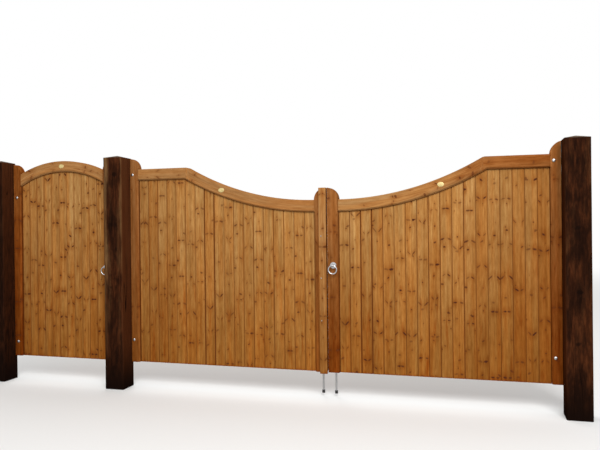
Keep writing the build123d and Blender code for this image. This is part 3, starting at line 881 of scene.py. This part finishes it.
def dress_frames():
    """Stiles, rails, strip, ledges and braces."""
    for index, (node, tones) in enumerate(FRAME_TONES.items()):
        tone = fading(node, *tones)
        seed = FRAME_SEEDS[0] + FRAME_SEEDS[1] * index
        if node in CURVED_RAILS:
            timber(node, CURVED_RAILS[node](node), tone, seed, RAIL_ARRIS, 0.0, sliced)
        # The upright edges of the strip and stiles get painted shade
        elif node == "cover_strip" or node.endswith("_meeting_stile"):
            timber(node, upright_grain, tone, seed, MEETING_ARRIS, shaded_sides(node))
        elif node.endswith("_hanging_stile"):
            timber(node, upright_grain, tone, seed, FRAME_ARRIS, shaded_sides(node))
        else:
            timber(node, upright_grain, tone, seed)
    for index, leaf in enumerate(LEAVES):
        braces = leaf + "_braces"
        timber(leaf + "_ledges", level_grain, LEDGE_TONE, LEDGE_SEEDS[0] + LEDGE_SEEDS[1] * index)
        timber(braces, brace_grain(braces), BRACE_TONE, BRACE_SEEDS[0] + BRACE_SEEDS[1] * index)


def board_top(node):
    """Function that gives the height of a boarding's upper edge at any place along it."""
    lo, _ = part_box(node)
    heights = {}
    for vertex in frame["nodes"][node].data.vertices:
        if vertex.co.z > lo[Z] + WELD:
            heights[round(vertex.co.x, 5)] = vertex.co.z
    places = sorted(heights)
    return lambda x: float(np.interp(x, places, [heights[place] for place in places]))


def even_steps(values):
    """Function that runs through these values at even steps from 0 to 1."""
    places = np.linspace(0.0, 1.0, len(values))
    return lambda share: float(np.interp(share, places, values))


def board_joints(leaf, chance):
    """Half gaps and stains of the joints of one leaf, from its left edge to its right one. The two outer
    joints, beside the stiles, get painted shade.
    """
    count = BOARDS[leaf]
    gaps = [JOINT_GAP[1]] + [chance.uniform(*JOINT_GAP) for _ in range(count - 1)] + [JOINT_GAP[1]]
    stains = [chance.uniform(*JOINT_STAIN) for _ in range(count + 1)]
    # Painted shade in the outer joints, beside the stiles
    stains[0] = stains[-1] = OPEN_JOINT_STAIN_AND_STILE_SHADE
    for index in OPEN_JOINTS[leaf]:
        gaps[index] = OPEN_JOINT_GAP
        stains[index] = OPEN_JOINT_STAIN_AND_STILE_SHADE
    return gaps, stains


def board_section(left, right, front, back):
    """Section of one board, anticlockwise from its front left corner, as (x, y, joint) rows.

    Joint is 1 in the joint between two boards and 0 on the open faces."""
    width = right - left - 2 * V_JOINT
    face = [left + V_JOINT + width * step / FACE_STRIPS for step in range(FACE_STRIPS + 1)]
    tongue_end = left - TONGUE_LENGTH
    groove_end = right - TONGUE_LENGTH - TONGUE_PLAY
    groove_front = front + TONGUE_FRONT - TONGUE_PLAY
    groove_back = front + TONGUE_BACK + TONGUE_PLAY
    return [
        (left, front + V_JOINT, 1.0),
        (face[0], front, JOINT_EDGE),
        (left + V_JOINT + JOINT_SHADE, front, 0.0),
        *((x, front, 0.0) for x in face[1:-1]),
        (right - V_JOINT - JOINT_SHADE, front, 0.0),
        (face[-1], front, JOINT_EDGE),
        (right, front + V_JOINT, 1.0),
        (right, groove_front, 1.0),
        (groove_end, groove_front, 1.0),
        (groove_end, groove_back, 1.0),
        (right, groove_back, 1.0),
        (right, back - BACK_JOINT, 1.0),
        (right - BACK_JOINT, back, BACK_JOINT_EDGE),
        *((x, back, 0.0) for x in reversed(face[1:-1])),
        (left + BACK_JOINT, back, BACK_JOINT_EDGE),
        (left, back - BACK_JOINT, 1.0),
        (left, front + TONGUE_BACK, 1.0),
        (tongue_end, front + TONGUE_BACK, 1.0),
        (tongue_end, front + TONGUE_FRONT, 1.0),
        (left, front + TONGUE_FRONT, 1.0),
    ]


def skin(work, rings):
    """Join rings of points into a closed solid. The last ring may be a single point."""
    for lower, upper in zip(rings, rings[1:]):
        for a in range(len(lower)):
            b = (a + 1) % len(lower)
            if len(upper) == 1:
                work.faces.new((lower[a], lower[b], upper[0]))
            else:
                work.faces.new((lower[a], lower[b], upper[b], upper[a]))
    work.faces.new(rings[0])
    if len(rings[-1]) > 1:
        work.faces.new(rings[-1])


def dress_boards():
    """Tongued and grooved boards in place of each plain boarding."""
    chance = random.Random(BOARD_CHANCE)
    steps = [step / BOARD_LENGTHS for step in range(BOARD_LENGTHS + 1)]
    shares = [0.0, END_SHARE, *steps[1:-1], 1 - END_SHARE, 1.0]
    for leaf, count in BOARDS.items():
        node = leaf + "_boarding"
        lo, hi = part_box(node)
        top = board_top(node)
        pitch = (hi[X] - lo[X]) / count
        tones = even_steps(BOARD_TONES[leaf])
        gaps, stains = board_joints(leaf, chance)
        work = bmesh.new()
        rows = []
        for index in range(count):
            left = lo[X] + index * pitch + gaps[index]
            right = lo[X] + (index + 1) * pitch - gaps[index + 1]
            middle = (left + right) / 2
            section = board_section(left, right, lo[Y] + chance.uniform(0.0, BOARD_STAND), hi[Y])
            seed = chance.random()
            tone = tones(index / (count - 1)) + chance.uniform(-1.0, 1.0) * BOARD_TONE_SPREAD[leaf]
            shift = chance.uniform(0.0, BOARD_SHIFT)
            rings = []
            for share in shares:
                # Painted shade under the rail at the top end, stain in the end grain at the foot
                end = END_STAIN_AND_RAIL_SHADE if share in (0.0, 1.0) else 0.0
                # Painted shade: the tone falls towards the board's foot
                fallen = tone - BOARD_FOOT_SHADE[leaf] * (1 - share)
                ring = []
                for x, y, joint in section:
                    inner = min(max(x, lo[X]), hi[X])
                    z = lo[Z] + (top(inner) - lo[Z]) * share
                    ring.append(work.verts.new((x, y, z)))
                    stain = joint * (stains[index] if x < middle else stains[index + 1])
                    rows.append((x - middle, y - lo[Y], z + shift, seed, fallen, max(stain, end)))
                rings.append(ring)
            skin(work, rings)
        mesh = stand_in(node, "_boards", work).data
        values = np.array(rows)
        store(mesh, "grain", values[:, :3])
        for column, name in enumerate(("seed", "tone", "dark"), 3):
            store(mesh, name, values[:, column])
        store(mesh, "bold", BOARD_BOLDNESS[leaf])


def dome(radius, height, rim):
    """Profile of a domed head with a short upright rim."""
    angles = [pi / 2 * step / DOME_STEPS for step in range(DOME_STEPS)]
    curve = [(radius * cos(angle), rim + (height - rim) * sin(angle)) for angle in angles]
    return [(radius, 0.0)] + curve + [(0.0, height)]


def turned(work, profile, place, facing, sides=SCREW_SIDES):
    """Add a turned solid. The profile is (radius, height) rows from the foot to the crown."""
    turn = Vector((0.0, 0.0, 1.0)).rotation_difference(Vector(facing)).to_matrix().to_4x4()
    matrix = Matrix.Translation(place) @ turn
    rings = []
    for radius, height in profile:
        ring = []
        for side in range(sides if radius else 1):
            angle = 2 * pi * side / sides
            ring.append(work.verts.new(matrix @ Vector((radius * cos(angle), radius * sin(angle), height))))
        rings.append(ring)
    skin(work, rings)


def add_heads(name, body, head, places, facing=BACK, sides=SCREW_SIDES, materials=None):
    """One piece with a domed head at each of these places."""
    work = bmesh.new()
    for place in places:
        turned(work, dome(*head), place, facing, sides)
    add_piece(name, work, body, "galvanised", materials)


def frame_back(leaf):
    """Place of the back of a leaf's frame."""
    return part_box(leaf + "_hanging_stile")[1][Y]


def hinge_edge(leaf):
    """Place of a leaf's hinge edge, and the way from it to the leaf's middle."""
    lo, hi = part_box(leaf + "_hanging_stile")
    rail_lo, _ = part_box(leaf + ("_arched_rail" if leaf == "side_gate" else "_top_rail"))
    return (lo[X], 1) if lo[X] < rail_lo[X] else (hi[X], -1)


def dress_bands():
    """Coach bolts through the hanging stiles and bands, and screws along the bands."""
    for leaf in LEAVES:
        edge, side = hinge_edge(leaf)
        x = edge + side * COACH_BOLT_INSET[leaf]
        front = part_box(leaf + "_hanging_stile")[0][Y]
        back = frame_back(leaf) + BAND_PLATE
        lo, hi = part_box(leaf + "_bands")
        work = bmesh.new()
        for z in (lo[Z] + BAND_WIDTH / 2, hi[Z] - BAND_WIDTH / 2):
            turned(work, dome(*COACH_BOLT), (x, front, z), FRONT, BOLT_SIDES)
            turned(work, WASHER, (x, back, z), BACK, BOLT_SIDES)
            turned(work, NUT, (x, back, z), BACK, NUT_SIDES)
            turned(work, THREAD, (x, back, z), BACK)
            for along in BAND_SCREWS:
                turned(work, dome(*SCREW), (edge + side * along, back, z), BACK)
        add_piece(leaf + "_coach_bolts", work, leaf, "galvanised")


def dress_hooks():
    """Two pairs of screws in each plate of the posts' hooks."""
    for post in POSTS:
        node = post + "_hooks"
        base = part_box(post)[1][Y]
        points = [vertex.co for vertex in frame["nodes"][node].data.vertices]
        xs = [x for x, y, _ in points if abs(y - base - HOOK_PLATE) < WELD]
        zs = [z for _, y, z in points if abs(y - base) < WELD]
        middle = (min(xs) + max(xs)) / 2
        places = [(middle + aside, base + HOOK_PLATE, centre + rise)
                  for centre in (min(zs) + HOOK_HEIGHT / 2, max(zs) - HOOK_HEIGHT / 2)
                  for rise in (-HOOK_SPREAD / 2, HOOK_SPREAD / 2)
                  for aside in (-SCREW_ASIDE, SCREW_ASIDE)]
        add_heads(node + "_screws", "posts", SCREW, places)


def dress_guides():
    """Three pairs of screws in the plate of each drop bolt's guide."""
    for leaf in DRIVE_LEAVES:
        lo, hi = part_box(leaf + "_bolt_guide")
        middle = (lo[X] + hi[X]) / 2
        heights = (lo[Z] + GUIDE_SCREW_INSET, (lo[Z] + hi[Z]) / 2, hi[Z] - GUIDE_SCREW_INSET)
        places = [(middle + aside, frame_back(leaf) + GUIDE_PLATE, z)
                  for z in heights for aside in (-SCREW_ASIDE, SCREW_ASIDE)]
        add_heads(leaf + "_guide_screws", leaf, SCREW, places)


def dress_keeps():
    """Three screws with low heads in each keep, clear of the latch bar."""
    bases = {"left_leaf_keep": frame_back("left_leaf"), "middle_post_keep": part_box("middle_post")[1][Y]}
    for node, base in bases.items():
        lo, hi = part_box(node)
        heights = [lo[Z] + height for height in KEEP_SCREWS_LOW] + [hi[Z] - KEEP_SCREW_INSET]
        places = [((lo[X] + hi[X]) / 2, base + KEEP_PLATE, z) for z in heights]
        add_heads(node + "_screws", BODY[node], KEEP_SCREW, places)


def dress_roses():
    """Three small screws in the plate of each ring latch's rose."""
    for leaf in LATCHED_LEAVES:
        lo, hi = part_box(leaf + "_rose")
        x, z = (lo[X] + hi[X]) / 2, (lo[Z] + hi[Z]) / 2
        places = [(x + ROSE_CIRCLE * cos(radians(angle)), hi[Y] - ROSE_PLATE,
                   z + ROSE_CIRCLE * sin(radians(angle))) for angle in ROSE_ANGLES]
        add_heads(leaf + "_rose_screws", leaf, ROSE_SCREW, places, FRONT, SMALL_SIDES)


def dress_strip():
    """Small dull bolt heads down the cover strip."""
    lo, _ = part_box("cover_strip")
    places = [(lo[X] + STRIP_SCREW_INSET, lo[Y], height) for height in STRIP_SCREW_HEIGHTS]
    add_heads("cover_strip_bolts", "left_leaf", STRIP_BOLT, places, FRONT, materials=[DULL_ZINC])


def dress_plaques():
    """Oval plaques on the rails, with a raised rim round a shallow dome."""
    for leaf in LEAVES:
        node = leaf + "_plaque"
        lo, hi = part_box(node)
        radius = (hi[X] - lo[X]) / 2
        thickness = hi[Y] - lo[Y]
        profile = [(radius * share, thickness * height) for share, height in PLAQUE_PROFILE]
        work = bmesh.new()
        turned(work, profile, (0.0, 0.0, 0.0), FRONT, PLAQUE_SIDES)
        place = Matrix.Translation(((lo[X] + hi[X]) / 2, hi[Y], (lo[Z] + hi[Z]) / 2))
        work.transform(place @ Matrix.Diagonal((1.0, 1.0, (hi[Z] - lo[Z]) / (hi[X] - lo[X]), 1.0)))
        stand_in(node, "_cap", work)


def dress_metal():
    """Metal pieces with their edges eased, the drop bolts with black feet, and the zinc of the latches."""
    nodes = [post + "_hooks" for post in POSTS]
    nodes += [leaf + "_bands" for leaf in LEAVES]
    nodes += ["left_leaf_keep", "middle_post_keep"]
    nodes += [leaf + "_bolt_guide" for leaf in DRIVE_LEAVES]
    nodes += [leaf + "_latch_bar" for leaf in LATCHED_LEAVES]
    for node in nodes:
        stand_in(node, "_metal", eased(node, METAL_ARRIS))
    for leaf in DRIVE_LEAVES:
        node = leaf + "_drop_bolt"
        piece = stand_in(node, "_metal", eased(node, METAL_ARRIS), [GALVANISED, RUBBER])
        for face in piece.data.polygons:
            if face.center.z < BOLT_FOOT_TOP + WELD:
                face.material_index = 1
    for leaf in LATCHED_LEAVES:
        for part in ("rose", "spindle", "ring"):
            frame["nodes"][f"{leaf}_{part}"].data.materials[0] = GALVANISED


def set_camera():
    """Camera at the photograph's viewing angle, turned about its own axes."""
    yaw, pitch, roll = (radians(angle) for angle in (CAMERA_YAW, CAMERA_PITCH, CAMERA_ROLL))
    level = Vector((-sin(yaw), cos(yaw), 0.0))
    right = Vector((cos(yaw), sin(yaw), 0.0))
    up = Vector((0.0, 0.0, 1.0))
    ahead = level * cos(pitch) + up * sin(pitch)
    over = up * cos(pitch) - level * sin(pitch)
    side = right * cos(roll) + over * sin(roll)
    top = over * cos(roll) - right * sin(roll)
    data = bpy.data.cameras.new("camera")
    data.sensor_width = SENSOR_WIDTH
    data.lens = CAMERA_LENS
    camera = new_object("camera", data)
    turn = Matrix((side, top, -ahead)).transposed().to_4x4()
    camera.matrix_world = Matrix.Translation(CAMERA_PLACE) @ turn
    bpy.context.scene.camera = camera


def set_floor():
    """Pale floor that takes the shadow near the gateway and runs into the white background far off."""
    mesh = bpy.data.meshes.new("floor")
    corners = [(x * FLOOR_REACH, y * FLOOR_REACH, 0.0) for x, y in ((-1, -1), (1, -1), (1, 1), (-1, 1))]
    mesh.from_pydata(corners, [], [range(len(corners))])
    floor = new_object("floor", mesh)
    look = new_material("floor")
    seen = look.add("LightPath").outputs["Is Camera Ray"]
    near = look.add("BsdfDiffuse", {"Color": look.blend(seen, FLOOR_SHED, FLOOR_SEEN)})
    far = look.add("Emission", {"Color": WHITE, "Strength": 1.0})
    distance = look.add("VectorMath", {0: look.place()}, operation="LENGTH").outputs["Value"]
    share = look.times(look.smooth(distance, *FLOOR_FADE), seen)
    mixed = look.add("MixShader", {0: share, 1: near.outputs[0], 2: far.outputs[0]})
    look.add("OutputMaterial", {"Surface": mixed.outputs[0]})
    mesh.materials.append(look.owner)


def set_light():
    """Even sky that shows white by itself, and two soft lamps."""
    world = bpy.data.worlds.new("studio")
    bpy.context.scene.world = world
    sky = Nodes(world)
    path = sky.add("LightPath").outputs
    seen = sky.math("MAXIMUM", path["Is Camera Ray"], path["Is Transmission Ray"])
    seen = sky.math("MAXIMUM", seen, path["Is Glossy Ray"])
    strength = sky.add("MapRange", {"Value": seen, "To Min": WORLD_STRENGTH, "To Max": 1.0})
    background = sky.add("Background", {"Color": WHITE, "Strength": strength.outputs[0]})
    sky.add("OutputWorld", {"Surface": background.outputs[0]})
    for name, (place, power) in LAMPS.items():
        data = bpy.data.lights.new(name, "AREA")
        data.shape = "SQUARE"
        data.size = LAMP_SIZE
        data.energy = power
        lamp = new_object(name, data)
        lamp.location = place
        lamp.rotation_euler = (Vector(LAMP_AIM) - Vector(place)).to_track_quat("-Z", "Y").to_euler()


dress_posts()
dress_frames()
dress_boards()
dress_bands()
dress_hooks()
dress_guides()
dress_keeps()
dress_roses()
dress_strip()
dress_plaques()
dress_metal()
set_camera()
set_floor()
set_light()
bpy.context.scene.view_settings.view_transform = "Standard"
